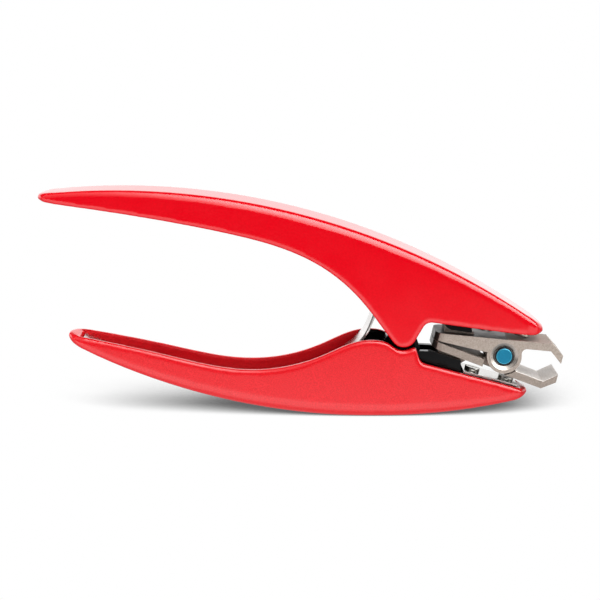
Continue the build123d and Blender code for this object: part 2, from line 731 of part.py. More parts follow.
# Upper jaw: bent plate, two boss ears round the pivot, and the lug to its link pin
jaw_half = jaw_width / 2
ear_inside = knuckle_width / 2 + ear_play
with BuildPart() as upper_jaw:
    with BuildSketch(jaw_side.offset(-jaw_half)):
        with BuildLine():
            Polyline(
                (-arm_reach, arm_seam),
                (0, arm_seam),
                inner_root,
                inner_bend,
                (edge_reach, edge_rise),
                edge_land,
                (bend_reach, bend_rise),
                (-arm_reach, arm_tail_rise),
                close=True,
            )
        make_face()
    extrude(amount=jaw_width)
    tail = upper_jaw.faces().filter_by(lambda f: f.normal_at().dot(jaw_side.x_dir) < -0.99)
    fillet(tail.edges().filter_by(lambda e: abs(e.tangent_at(0.5).Y) < 0.1), arm_corner)
    with BuildSketch(jaw_side.offset(-jaw_half)):
        Circle(boss_radius)
    extrude(amount=jaw_width)
    mouth_root = jaw_side.from_local_coords(inner_root)
    fillet(upper_jaw.edges().filter_by(Axis.Y).sort_by_distance(mouth_root)[0], mouth_radius)
    with BuildSketch(jaw_side.offset(-ear_inside)):
        Circle(knuckle_radius + boss_gap)
        with Locations((0, -boss_radius)):
            Rectangle(4 * boss_radius, 2 * boss_radius)
    extrude(amount=2 * ear_inside, mode=Mode.SUBTRACT)
    with BuildSketch(jaw_side.offset(-link_lug_half)):
        with Locations((link_back, link_rise)):
            Circle(lug_radius)
        with BuildLine():
            Polyline(
                (link_back - lug_radius, link_rise),
                (link_back + lug_crown[0], link_rise + lug_crown[1]),
                (link_back + lug_foot, arm_tail_rise + lug_root),
                (link_back - lug_heel, arm_tail_rise - lug_root),
                close=True,
            )
        make_face()
    extrude(amount=2 * link_lug_half)
    with BuildSketch(jaw_side.offset(-half_depth)):
        Circle(jaw_pin_radius + pin_seat)
        with Locations((link_back, link_rise)):
            Circle(link_pin_radius + pin_run)
    extrude(amount=2 * half_depth, mode=Mode.SUBTRACT)
    for face, turn in ((jaw_half, 1), (-jaw_half, -1)):
        with BuildSketch(jaw_side.offset(face)):
            Circle(sink_radius)
        with BuildSketch(jaw_side.offset(face - turn * sink_depth)):
            Circle(jaw_pin_radius + cap_ring)
        loft(mode=Mode.SUBTRACT)
        with BuildSketch(jaw_side.offset(face - turn * sink_depth)):
            Circle(jaw_pin_radius + cap_ring)
        extrude(amount=-turn * (cap_depth + cap_height - sink_depth), mode=Mode.SUBTRACT)
upper_jaw.part.label = "upper_jaw"
export_step(upper_jaw.part, "parts/upper_jaw.step")

# Lower jaw: bent plate, knuckle between the ears of the upper jaw, and the lug to its link pin
with BuildPart() as lower_jaw:
    with BuildSketch(jaw_side.offset(-jaw_half)):
        with BuildLine():
            Polyline(
                (-arm_reach, -arm_seam),
                lower_arm_root,
                (inner_root[0], -inner_root[1]),
                (inner_bend[0], -inner_bend[1]),
                (edge_reach, -edge_rise),
                (edge_land[0], -edge_land[1]),
                (bend_reach, -bend_rise),
                (-arm_reach, -arm_tail_rise),
                close=True,
            )
        make_face()
    extrude(amount=jaw_width)
    tail = lower_jaw.faces().filter_by(lambda f: f.normal_at().dot(jaw_side.x_dir) < -0.99)
    fillet(tail.edges().filter_by(lambda e: abs(e.tangent_at(0.5).Y) < 0.1), arm_corner)
    for start in (-jaw_half, knuckle_width / 2):
        with BuildSketch(jaw_side.offset(start)):
            Circle(boss_radius + boss_gap)
            with Locations((-boss_radius - boss_gap, 0)):
                Rectangle(boss_radius, 4 * boss_radius, align=(Align.MIN, Align.CENTER))
        extrude(amount=jaw_half - knuckle_width / 2, mode=Mode.SUBTRACT)
    with BuildSketch(jaw_side.offset(-knuckle_width / 2)):
        Circle(knuckle_radius)
        with Locations((0, -knuckle_radius)):
            Rectangle(2 * knuckle_radius, knuckle_radius, align=(Align.CENTER, Align.MIN))
    extrude(amount=knuckle_width)
    with BuildSketch(jaw_side.offset(-link_lug_half)):
        with Locations((link_back, -link_rise)):
            Circle(lug_radius)
        with BuildLine():
            Polyline(
                (link_back - lug_radius, -link_rise),
                (link_back + lug_crown[0], -link_rise - lug_crown[1]),
                (link_back + lug_foot, -arm_tail_rise - lug_root),
                (link_back - lug_heel, -arm_tail_rise + lug_root),
                close=True,
            )
        make_face()
    extrude(amount=2 * link_lug_half)
    with BuildSketch(jaw_side.offset(-half_depth)):
        Circle(jaw_pin_radius + pin_run)
        with Locations((link_back, -link_rise)):
            Circle(link_pin_radius + pin_run)
    extrude(amount=2 * half_depth, mode=Mode.SUBTRACT)
lower_jaw.part.label = "lower_jaw"
export_step(lower_jaw.part, "parts/lower_jaw.step")

# Jaw pivot: pin, its two coloured caps and thrust washers
pin_half = jaw_half - cap_depth - cap_height
with BuildPart() as jaw_pivot_pin:
    with BuildSketch(jaw_side.offset(-pin_half)):
        Circle(jaw_pin_radius)
    extrude(amount=2 * pin_half)
jaw_pivot_pin.part.label = "jaw_pivot_pin"
export_step(jaw_pivot_pin.part, "parts/jaw_pivot_pin.step")

with BuildPart() as jaw_pin_caps:
    for turn in (1, -1):
        with BuildSketch(jaw_side.offset(turn * pin_half)):
            Circle(jaw_pin_radius)
        extrude(amount=turn * cap_height)
jaw_pin_caps.part.label = "jaw_pin_caps"
export_step(jaw_pin_caps.part, "parts/jaw_pin_caps.step")

with BuildPart() as jaw_washers:
    for inside in (-ear_inside + washer_play, knuckle_width / 2 + washer_play):
        with BuildSketch(jaw_side.offset(inside)):
            Circle(knuckle_radius - washer_inset)
            Circle(jaw_pin_radius + 3 * pin_run, mode=Mode.SUBTRACT)
        extrude(amount=ear_play - 2 * washer_play)
jaw_washers.part.label = "jaw_washers"
export_step(jaw_washers.part, "parts/jaw_washers.step")

# Leaf spring: a strip that lies in the lower handle and rises to its seat on the upper carrier
with BuildPart() as leaf_spring:
    with BuildSketch(Plane.XZ.offset(-half_depth)):
        with BuildLine():
            Spline(*[leaf_point(i, 1) for i in range(len(leaf_path))], tangents=leaf_runs)
            Spline(*[leaf_point(i, -1) for i in range(len(leaf_path))], tangents=leaf_runs)
            Line(leaf_point(0, 1), leaf_point(0, -1))
            Line(leaf_point(-1, 1), leaf_point(-1, -1))
        make_face()
    extrude(amount=2 * half_depth)
    with BuildSketch(Plane.XY):
        with BuildLine():
            tail_y = half_width(spring_tail[0], lower_tail_x, lower_nose_x) - wall - spring_clear
            tip_y = carrier_half
            front_x = spring_tip[0] + overrun
            rear_x = spring_tail[0] - overrun
            Polyline((rear_x, -tail_y), (front_x, -tip_y), (front_x, tip_y), (rear_x, tail_y), close=True)
        make_face()
    extrude(amount=cut_reach, mode=Mode.INTERSECT)
    with BuildSketch(spring_seat.offset(-spring_thickness)):
        Circle(screw_radius + pin_seat)
    extrude(amount=3 * spring_thickness, mode=Mode.SUBTRACT)
leaf_spring.part.label = "leaf_spring"
export_step(leaf_spring.part, "parts/leaf_spring.step")
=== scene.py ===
"""Looks of a compound-lever hand cutter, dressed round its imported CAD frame.

Every length in the classes below is in millimetres, in the frame of the CAD model: X runs from the
handle tails to the jaws, Y across the tool, Z up from the floor.
"""
import logging
import math
from dataclasses import dataclass
from enum import Enum, IntEnum
from typing import Any, Optional

import bpy
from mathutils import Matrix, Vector

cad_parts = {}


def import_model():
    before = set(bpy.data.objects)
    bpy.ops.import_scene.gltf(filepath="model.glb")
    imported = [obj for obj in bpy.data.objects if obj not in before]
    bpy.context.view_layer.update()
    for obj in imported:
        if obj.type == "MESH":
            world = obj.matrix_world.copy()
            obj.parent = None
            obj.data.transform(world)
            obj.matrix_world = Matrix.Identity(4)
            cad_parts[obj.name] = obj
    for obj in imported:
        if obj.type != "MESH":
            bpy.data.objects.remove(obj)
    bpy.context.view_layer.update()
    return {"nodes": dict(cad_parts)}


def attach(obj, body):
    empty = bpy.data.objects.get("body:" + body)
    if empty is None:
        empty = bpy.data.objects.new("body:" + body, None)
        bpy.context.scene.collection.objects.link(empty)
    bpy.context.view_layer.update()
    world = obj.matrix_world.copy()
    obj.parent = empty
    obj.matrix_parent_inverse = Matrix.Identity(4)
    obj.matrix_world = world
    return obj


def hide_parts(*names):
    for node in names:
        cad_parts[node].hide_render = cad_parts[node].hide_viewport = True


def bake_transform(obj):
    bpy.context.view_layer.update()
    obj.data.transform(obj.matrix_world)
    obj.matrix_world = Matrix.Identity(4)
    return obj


LOG = logging.getLogger("cutter")
MM = 0.001
# Corners of loose triangles that lie closer than this are one
MERGE_MM = 0.002
# A wave texture at scale 1 repeats after this length
WAVE_TURN = math.tau / 20
# Octaves of a finish's fine grain and of its broad clouds, and the values between which the clouds lie
GRAIN_DETAIL = 3.0
CLOUD_DETAIL = 4.0
CLOUD_SPREAD = (0.3, 0.7)
# Colour sockets of a Mix node, by number because their names repeat for each type of data
MIX_FIRST = 6
MIX_SECOND = 7
MIX_RESULT = 2
# Middle of the jaw pivot
JAW_PIVOT_MM = (54.760, 0.0, 16.306)
# A point on the top of the lower front plate, and the way that the plate faces
LOWER_PLATE_TOP_MM = (32.234, 0.0, 15.382)
LOWER_PLATE_UP = (8.24, 0.0, 29.7)


class Body(Enum):
    """The CAD bodies that pieces ride on."""

    LOWER_HANDLE = "lower_handle"
    UPPER_HANDLE = "upper_handle"
    LOWER_JAW = "lower_jaw"
    UPPER_JAW = "upper_jaw"


class Slot(Enum):
    """The record's material slots."""

    RED = "red_paint"
    BLACK = "black_polymer"
    POLISHED = "polished_steel"
    SCREW = "screw_steel"
    PIN = "pin_steel"
    BLASTED = "blasted_steel"
    SPRING = "spring_steel"
    BLUE = "blue_anodised"


class ShellFace(IntEnum):
    """Material slots of a handle shell."""

    OUTSIDE = 0
    # Inward faces: red with painted shade
    INSIDE = 1
    # Inward faces round the mechanism: black painted shade
    MASKED = 2


class JawFace(IntEnum):
    """Material slots of a jaw."""

    BLASTED = 0
    TURNED = 1
    # Painted shade under the handles and on the rear ends
    COVERED = 2
    BITING = 3


class CapFace(IntEnum):
    """Material slots of the pin caps."""

    DYED = 0
    # The groove and the sides: painted shade
    RING = 1
    # A band near the edge: painted highlight
    WORN = 2


# Colours and nodes


def linear(code: str) -> tuple[float, float, float, float]:
    """Turn an sRGB hex colour into linear light.

    Args:
        code: Six hex digits, with or without a leading hash.

    Returns:
        Red, green, blue and an alpha of 1.
    """
    digits = code.lstrip("#")
    parts = [int(digits[i : i + 2], 16) / 255 for i in (0, 2, 4)]
    lin = [p / 12.92 if p <= 0.04045 else ((p + 0.055) / 1.055) ** 2.4 for p in parts]
    return (lin[0], lin[1], lin[2], 1.0)


def add_node(
    tree: bpy.types.NodeTree,
    kind: str,
    settings: Optional[dict[str, Any]] = None,
    inputs: Optional[dict[Any, Any]] = None,
) -> bpy.types.Node:
    """Add a node, set its properties and fill or link its inputs.

    Args:
        tree: The node tree to add to.
        kind: Blender's name of the node type.
        settings: Node properties by name.
        inputs: Input sockets by name or index: a value to set, or an output socket to link.

    Returns:
        The new node.
    """
    node = tree.nodes.new(kind)
    for key, value in (settings or {}).items():
        setattr(node, key, value)
    for key, value in (inputs or {}).items():
        if isinstance(value, bpy.types.NodeSocket):
            tree.links.new(value, node.inputs[key])
        else:
            node.inputs[key].default_value = value
    return node


def per_mm(size: float) -> float:
    """Texture scale whose features are about this many millimetres across."""
    return 1 / (size * MM)


@dataclass(frozen=True)
class Finish:
    """A surface finish: two tints broken up by a grain, with a bumped and uneven surface."""

    name: str
    tint: str
    second_tint: str
    metallic: float
    roughness: tuple[float, float]
    grain_mm: float
    bump_mm: float
    stretch: tuple[float, float, float] = (1.0, 1.0, 1.0)
    cloud_mm: float = 9.0
    specular: float = 0.5
    contrast: tuple[float, float] = (0.35, 0.65)
    turned_about_mm: Optional[tuple[float, float, float]] = None

    def grain(self, tree: bpy.types.NodeTree, place: bpy.types.NodeSocket) -> bpy.types.NodeSocket:
        """Add the fine pattern: rings where the finish is turned about a centre, else an even grain.

        Args:
            tree: The material's node tree.
            place: Object coordinates.

        Returns:
            The strength of the pattern.
        """
        laid = add_node(tree, "ShaderNodeMapping", inputs={"Vector": place, "Scale": self.stretch})
        if self.turned_about_mm is None:
            noise = add_node(
                tree,
                "ShaderNodeTexNoise",
                inputs={"Vector": laid.outputs[0], "Scale": per_mm(self.grain_mm), "Detail": GRAIN_DETAIL},
            )
            return noise.outputs["Fac"]
        centred = add_node(
            tree,
            "ShaderNodeMapping",
            {"vector_type": "TEXTURE"},
            {"Vector": laid.outputs[0], "Location": Vector(self.turned_about_mm) * MM},
        )
        rings = add_node(
            tree,
            "ShaderNodeTexWave",
            {"wave_type": "RINGS", "rings_direction": "Y"},
            {"Vector": centred.outputs[0], "Scale": WAVE_TURN * per_mm(self.grain_mm)},
        )
        return rings.outputs["Fac"]

    def material(self) -> bpy.types.Material:
        """Build the node material of this finish.

        Returns:
            A material that reads Object coordinates.
        """
        made = bpy.data.materials.new(self.name)
        made.use_nodes = True
        tree = made.node_tree
        shader = tree.nodes["Principled BSDF"]
        place = add_node(tree, "ShaderNodeTexCoord").outputs["Object"]
        grain = self.grain(tree, place)
        shares = add_node(
            tree,
            "ShaderNodeMapRange",
            inputs={"Value": grain, "From Min": self.contrast[0], "From Max": self.contrast[1]},
        )
        colours = add_node(
            tree,
            "ShaderNodeMix",
            {"data_type": "RGBA"},
            {
                "Factor": shares.outputs[0],
                MIX_FIRST: linear(self.tint),
                MIX_SECOND: linear(self.second_tint),
            },
        )
        cloud = add_node(
            tree,
            "ShaderNodeTexNoise",
            inputs={"Vector": place, "Scale": per_mm(self.cloud_mm), "Detail": CLOUD_DETAIL},
        )
        rough = add_node(
            tree,
            "ShaderNodeMapRange",
            inputs={
                "Value": cloud.outputs["Fac"],
                "From Min": CLOUD_SPREAD[0],
                "From Max": CLOUD_SPREAD[1],
                "To Min": self.roughness[0],
                "To Max": self.roughness[1],
            },
        )
        bump = add_node(
            tree,
            "ShaderNodeBump",
            inputs={"Height": grain, "Distance": self.bump_mm * MM, "Strength": 1.0},
        )
        tree.links.new(colours.outputs[MIX_RESULT], shader.inputs["Base Color"])
        tree.links.new(rough.outputs[0], shader.inputs["Roughness"])
        tree.links.new(bump.outputs[0], shader.inputs["Normal"])
        shader.inputs["Metallic"].default_value = self.metallic
        shader.inputs["Specular IOR Level"].default_value = self.specular
        return made


# Finishes

# Gloss stoved paint over die-cast metal: saturated, with soft-edged reflections and a faint orange peel
UPPER_PAINT = Finish(
    "stoved_red_paint",
    tint="#E00014",
    second_tint="#E80218",
    metallic=0.0,
    roughness=(0.09, 0.13),
    grain_mm=0.55,
    bump_mm=0.0012,
)
# The same paint where it lies over a coarser casting skin: a fine speckle that reads lighter
LOWER_PAINT = Finish(
    "stoved_red_paint_on_cast_skin",
    tint="#D80A17",
    second_tint="#F01E28",
    metallic=0.0,
    roughness=(0.13, 0.16),
    grain_mm=0.28,
    bump_mm=0.006,
)
# Inside the channels: a deeper red that is painted shade for the hollow of the channel, and a duller
# surface
SHADED_INNER_PAINT = Finish(
    "red_paint_inside_painted_shade",
    tint="#B4050F",
    second_tint="#C20814",
    metallic=0.0,
    roughness=(0.35, 0.45),
    grain_mm=0.4,
    bump_mm=0.004,
    specular=0.12,
)
# Black and dull on the inner walls round the mechanism: painted shade for the dark hollow there
BLACK_PAINTED_SHADE = Finish(
    "black_painted_shade_inside",
    tint="#0A0909",
    second_tint="#131111",
    metallic=0.0,
    roughness=(0.35, 0.45),
    grain_mm=0.4,
    bump_mm=0.004,
    specular=0.15,
)
# Moulded glass-filled nylon: near black, with a slight sheen from the mould's polish
BLACK_NYLON = Finish(
    "moulded_black_nylon",
    tint="#040405",
    second_tint="#0A0A0B",
    metallic=0.0,
    roughness=(0.1, 0.16),
    grain_mm=0.3,
    bump_mm=0.002,
    specular=0.2,
)
# Bead-blasted hardened steel: warm grey, satin, with a grain drawn coarser than the real 0.08 mm to show
BLASTED_STEEL = Finish(
    "bead_blasted_steel",
    tint="#90847B",
    second_tint="#A89C92",
    metallic=0.5,
    roughness=(0.5, 0.6),
    grain_mm=0.28,
    bump_mm=0.012,
    cloud_mm=4.0,
)
# The same blasted steel a shade darker for the lower jaw: painted shade
SHADED_BLASTED_STEEL = Finish(
    "bead_blasted_steel_painted_shade",
    tint="#82776E",
    second_tint="#998D84",
    metallic=0.5,
    roughness=(0.5, 0.6),
    grain_mm=0.28,
    bump_mm=0.012,
    cloud_mm=4.0,
)
# The same steel where a wheel has ground the biting faces: paler, with fine lines across the jaw
GROUND_STEEL = Finish(
    "ground_jaw_steel",
    tint="#D6CFC9",
    second_tint="#E6E0DB",
    metallic=0.4,
    roughness=(0.36, 0.46),
    grain_mm=0.3,
    bump_mm=0.006,
    stretch=(1.0, 0.1, 1.0),
)
# The same steel dark brown-black with a dull shine on the top faces under the handles and on the rear
# ends: painted shade, and painted reflection of the dark parts round them
SHADED_JAW_STEEL = Finish(
    "jaw_steel_painted_shade",
    tint="#2E2824",
    second_tint="#3E3732",
    metallic=0.6,
    roughness=(0.3, 0.42),
    grain_mm=0.3,
    bump_mm=0.006,
    cloud_mm=4.0,
)
# Steel faced on a lathe round the jaw pivot: bright, in rings drawn coarser than a real tool's to show
TURNED_STEEL = Finish(
    "turned_bright_steel",
    tint="#8F8780",
    second_tint="#AAA29B",
    metallic=1.0,
    roughness=(0.36, 0.44),
    grain_mm=0.35,
    bump_mm=0.004,
    turned_about_mm=JAW_PIVOT_MM,
)
# Polished stainless sheet: bright, with faint polishing lines along its length
POLISHED_STEEL = Finish(
    "polished_stainless_sheet",
    tint="#A8A5A2",
    second_tint="#BDBAB7",
    metallic=1.0,
    roughness=(0.1, 0.17),
    grain_mm=0.35,
    bump_mm=0.002,
    stretch=(0.12, 1.0, 1.0),
)
# Tempered strip steel: silver, brushed along the strip
SPRING_STEEL = Finish(
    "brushed_spring_strip",
    tint="#B4B0AE",
    second_tint="#C4C0BD",
    metallic=0.85,
    roughness=(0.14, 0.24),
    grain_mm=0.35,
    bump_mm=0.004,
    stretch=(0.08, 1.0, 0.3),
)
# Turned machine screws, plated: bright with a fine turned grain
SCREW_STEEL = Finish(
    "plated_screw_steel",
    tint="#B4B1AB",
    second_tint="#C6C3BD",
    metallic=1.0,
    roughness=(0.16, 0.26),
    grain_mm=0.22,
    bump_mm=0.003,
)
# Ground pins and washers: a plain grey shine
PIN_STEEL = Finish(
    "ground_pin_steel",
    tint="#9B9893",
    second_tint="#ADAAA5",
    metallic=1.0,
    roughness=(0.2, 0.3),
    grain_mm=0.25,
    bump_mm=0.002,
)
# Black-oxide pins: nearly as dark as the nylon that they cross
BLACK_OXIDE = Finish(
    "black_oxide_pin_steel",
    tint="#0A0A0A",
    second_tint="#121110",
    metallic=0.3,
    roughness=(0.2, 0.3),
    grain_mm=0.25,
    bump_mm=0.002,
    specular=0.2,
)
# Anodised aluminium pin end: a dyed satin blue
BLUE_ANODISED = Finish(
    "blue_anodised_aluminium",
    tint="#056E90",
    second_tint="#0D7C9E",
    metallic=0.5,
    roughness=(0.3, 0.38),
    grain_mm=0.2,
    bump_mm=0.003,
    cloud_mm=1.5,
)
# The same dye paler in a band near the edge of the pin end: a painted highlight
HIGHLIT_BLUE = Finish(
    "blue_anodised_edge_painted_highlight",
    tint="#3AA3C0",
    second_tint="#55B6CE",
    metallic=0.5,
    roughness=(0.25, 0.33),
    grain_mm=0.15,
    bump_mm=0.003,
    cloud_mm=1.5,
)
# The same dye nearly black in the groove round the pin end and on its sides: painted shade
SHADED_BLUE = Finish(
    "blue_dye_painted_shade",
    tint="#04121B",
    second_tint="#071C2A",
    metallic=0.3,
    roughness=(0.35, 0.45),
    grain_mm=0.2,
    bump_mm=0.003,
    cloud_mm=1.5,
    specular=0.3,
)


# Modelling helpers


def select_only(obj: bpy.types.Object) -> None:
    """Deselect everything, then select one object and make it active.

    Args:
        obj: The object.
    """
    bpy.ops.object.select_all(action="DESELECT")
    obj.select_set(True)
    bpy.context.view_layer.objects.active = obj


def apply_modifier(obj: bpy.types.Object, kind: str, **settings: Any) -> None:
    """Add a modifier with these settings and apply it.

    Args:
        obj: The mesh object.
        kind: Blender's modifier type.
        **settings: Modifier properties by name.
    """
    select_only(obj)
    modifier = obj.modifiers.new(kind.lower(), kind)
    for key, value in settings.items():
        setattr(modifier, key, value)
    bpy.ops.object.modifier_apply(modifier=modifier.name)


def merged_copy(node: bpy.types.Object, name: str, flat_deg: Optional[float] = None) -> bpy.types.Object:
    """Copy a CAD node's mesh into a new object with its loose triangles merged.

    Args:
        node: The CAD node's object.
        name: Name of the new piece.
        flat_deg: Dissolve triangles into flat faces up to this angle, or leave them where None.

    Returns:
        The new object, linked to the scene.
    """
    mesh = node.data.copy()
    mesh.name = name
    mesh.materials.clear()
    obj = bpy.data.objects.new(name, mesh)
    bpy.context.scene.collection.objects.link(obj)
    select_only(obj)
    bpy.ops.object.mode_set(mode="EDIT")
    bpy.ops.mesh.select_all(action="SELECT")
    bpy.ops.mesh.customdata_custom_splitnormals_clear()
    bpy.ops.mesh.remove_doubles(threshold=MERGE_MM * MM)
    if flat_deg is not None:
        bpy.ops.mesh.dissolve_limited(angle_limit=math.radians(flat_deg))
    bpy.ops.object.mode_set(mode="OBJECT")
    return obj


def smooth(obj: bpy.types.Object, degrees: float) -> None:
    """Shade smooth below an angle and let the large faces keep their own normals.

    Args:
        obj: The mesh object.
        degrees: Edges sharper than this stay sharp.
    """
    select_only(obj)
    bpy.ops.object.shade_smooth_by_angle(angle=math.radians(degrees))
    apply_modifier(obj, "WEIGHTED_NORMAL", mode="FACE_AREA", keep_sharp=True)


def dress(obj: bpy.types.Object, material: bpy.types.Material) -> None:
    """Leave a piece with this one material."""
    obj.data.materials.clear()
    obj.data.materials.append(material)


class Materials:
    """Each finish as a material, built once."""

    def __init__(self) -> None:
        """Start with none built."""
        self.built: dict[str, bpy.types.Material] = {}

    def get(self, finish: Finish) -> bpy.types.Material:
        """Build a finish's material the first time it is asked for.

        Args:
            finish: The finish.

        Returns:
            Its material.
        """
        if finish.name not in self.built:
            self.built[finish.name] = finish.material()
        return self.built[finish.name]


# Sub-assemblies


@dataclass
class Shells:
    """The two painted channel handles, every edge rounded as thick paint rounds it."""

    voxel_mm: float = 0.4
    edge_passes: int = 6
    end_passes: int = 36
    end_mm: float = 8.5
    pass_share: float = 0.5
    inward_facing: float = 0.35
    # Inner walls beyond this X are painted black as shade
    black_shade_from_mm: float = 16.0

    def build(self, nodes: dict[str, bpy.types.Object], paints: Materials) -> list[bpy.types.Object]:
        """Make both shells from the CAD forms, with soft edges.

        Args:
            nodes: CAD objects by name.
            paints: The finishes.

        Returns:
            The new pieces.
        """
        made = []
        for side, finish in ((Body.UPPER_HANDLE, UPPER_PAINT), (Body.LOWER_HANDLE, LOWER_PAINT)):
            obj = merged_copy(nodes[side.value], f"{side.value}_shell")
            self.soften(obj)
            dress(obj, paints.get(finish))
            obj.data.materials.append(paints.get(SHADED_INNER_PAINT))
            obj.data.materials.append(paints.get(BLACK_PAINTED_SHADE))
            # Faces that look inward are painted darker: red with painted shade, or black painted shade
            # round the mechanism
            for face in obj.data.polygons:
                if face.normal.y * math.copysign(1, face.center.y) < -self.inward_facing:
                    in_black_shade = face.center.x > self.black_shade_from_mm * MM
                    face.material_index = ShellFace.MASKED if in_black_shade else ShellFace.INSIDE
            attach(obj, side.value)
            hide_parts(side.value)
            made.append(obj)
        return made

    def soften(self, obj: bpy.types.Object) -> None:
        """Remesh a shell evenly, then smooth its edges, and its nose and tail more.

        Args:
            obj: The shell.
        """
        apply_modifier(obj, "REMESH", mode="VOXEL", voxel_size=self.voxel_mm * MM, use_smooth_shade=True)
        reach = [vertex.co.x / MM for vertex in obj.data.vertices]
        tail = min(reach)
        nose = max(reach)
        group = obj.vertex_groups.new(name="ends")
        for index, x in enumerate(reach):
            from_end = min(x - tail, nose - x)
            if from_end < self.end_mm:
                group.add([index], 1 - from_end / self.end_mm, "REPLACE")
        apply_modifier(obj, "SMOOTH", factor=self.pass_share, iterations=self.edge_passes)
        apply_modifier(
            obj,
            "SMOOTH",
            factor=self.pass_share,
            iterations=self.end_passes,
            vertex_group=group.name,
        )
        obj.vertex_groups.clear()


@dataclass
class Machined:
    """Pieces cut from bar or sheet, or moulded: the CAD form with its sharp edges broken."""

    edge_mm: float
    segments: int
    finish: Finish
    slot: Slot
    pieces: tuple[tuple[str, Body], ...]
    angle_deg: float = 28.0
    shade_margin_deg: float = 12.0
    flat_deg: float = 0.6

    def build(self, nodes: dict[str, bpy.types.Object], paints: Materials) -> list[bpy.types.Object]:
        """Shape each piece, break its edges and dress it.

        Args:
            nodes: CAD objects by name.
            paints: The finishes.

        Returns:
            The new pieces.
        """
        made = []
        for node, body in self.pieces:
            obj = merged_copy(nodes[node], f"{node}_finished", flat_deg=self.flat_deg)
            self.shape(obj)
            apply_modifier(
                obj,
                "BEVEL",
                width=self.edge_mm * MM,
                segments=self.segments,
                limit_method="ANGLE",
                angle_limit=math.radians(self.angle_deg),
            )
            smooth(obj, self.angle_deg + self.shade_margin_deg)
            dress(obj, paints.get(self.finish))
            self.part_colours(obj, paints)
            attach(obj, body.value)
            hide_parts(node)
            made.append(obj)
        return made

    def shape(self, obj: bpy.types.Object) -> None:
        """Keep the CAD form; a kind of piece with more to it adds that here."""

    def part_colours(self, obj: bpy.types.Object, paints: Materials) -> None:
        """Keep one finish all over; a kind of piece with more finishes adds them here."""


@dataclass
class Jaws(Machined):
    """The bent jaws: blasted, with painted shade under the handles and on their rear ends, turned round
    the pivot.
    """

    turned_radius_mm: float = 3.95
    turned_from_mm: float = 5.4
    turned_slope: float = 0.98
    shade_to_mm: float = 61.5
    shade_above_mm: float = 20.0
    rear_mm: float = 43.0
    facing: float = 0.6
    bite_from_mm: float = 58.0
    bite_below_mm: float = 14.0
    bite_facing: float = 0.3

    def part_colours(self, obj: bpy.types.Object, paints: Materials) -> None:
        """Give the turned sinks their own finish, painted shade to the faces under the handles and the
        rear ends, and the biting faces their own finish.

        Args:
            obj: The jaw.
            paints: The finishes.
        """
        for finish in (TURNED_STEEL, SHADED_JAW_STEEL, GROUND_STEEL):
            obj.data.materials.append(paints.get(finish))
        for face in obj.data.polygons:
            x, y, z = face.center / MM
            out = math.hypot(x - JAW_PIVOT_MM[0], z - JAW_PIVOT_MM[2])
            # Top faces under the handles and rear ends take painted shade
            top = face.normal.z > self.facing and z > self.shade_above_mm and x < self.shade_to_mm
            rear = face.normal.x < -self.facing and x < self.rear_mm
            sloped = abs(face.normal.y) < self.turned_slope
            if out < self.turned_radius_mm and abs(y) > self.turned_from_mm and sloped:
                face.material_index = JawFace.TURNED
            elif top or rear:
                face.material_index = JawFace.COVERED
            elif face.normal.z > self.bite_facing and x > self.bite_from_mm and z < self.bite_below_mm:
                face.material_index = JawFace.BITING


@dataclass
class PinCaps(Machined):
    """The blue pin ends, each standing in a ring of painted shade."""

    end_mm: float = 5.9
    end_facing: float = 0.99
    steps_mm: tuple[tuple[float, float], ...] = ((0.28, 0.0), (0.05, 0.14), (0.12, 0.02))
    ring_radius_mm: float = 2.11
    highlight_radius_mm: float = 1.96

    def shape(self, obj: bpy.types.Object) -> None:
        """Step each outer end up from its rim, with a low crown.

        Args:
            obj: Both caps.
        """
        select_only(obj)
        bpy.ops.object.mode_set(mode="EDIT")
        bpy.ops.mesh.select_mode(type="FACE")
        bpy.ops.mesh.select_all(action="DESELECT")
        bpy.ops.object.mode_set(mode="OBJECT")
        for face in obj.data.polygons:
            flat_end = abs(face.normal.y) > self.end_facing
            face.select = flat_end and abs(face.center.y) > self.end_mm * MM
        bpy.ops.object.mode_set(mode="EDIT")
        for width, rise in self.steps_mm:
            bpy.ops.mesh.inset(thickness=width * MM, depth=rise * MM, use_even_offset=True)
        bpy.ops.object.mode_set(mode="OBJECT")

    def part_colours(self, obj: bpy.types.Object, paints: Materials) -> None:
        """Paint shade on the rim and the sides, and a highlight in a band near the edge.

        Args:
            obj: Both caps.
            paints: The finishes.
        """
        obj.data.materials.append(paints.get(SHADED_BLUE))
        obj.data.materials.append(paints.get(HIGHLIT_BLUE))
        for face in obj.data.polygons:
            x, _, z = face.center / MM
            out = math.hypot(x - JAW_PIVOT_MM[0], z - JAW_PIVOT_MM[2])
            if out > self.ring_radius_mm:
                face.material_index = CapFace.RING
            elif out > self.highlight_radius_mm:
                face.material_index = CapFace.WORN


@dataclass
class PlateScrews(Machined):
    """Slotted screws of the lower front plate, drawn down to low cheese heads."""

    plate_top_mm: tuple[float, float, float] = LOWER_PLATE_TOP_MM
    plate_up: tuple[float, float, float] = LOWER_PLATE_UP
    head_share: float = 0.55

    def shape(self, obj: bpy.types.Object) -> None:
        """Lower what stands above the plate.

        Args:
            obj: The screws.
        """
        up = Vector(self.plate_up).normalized()
        seat = Vector(self.plate_top_mm) * MM
        for vertex in obj.data.vertices:
            height = (vertex.co - seat).dot(up)
            if height > 0:
                vertex.co -= up * height * (1 - self.head_share)


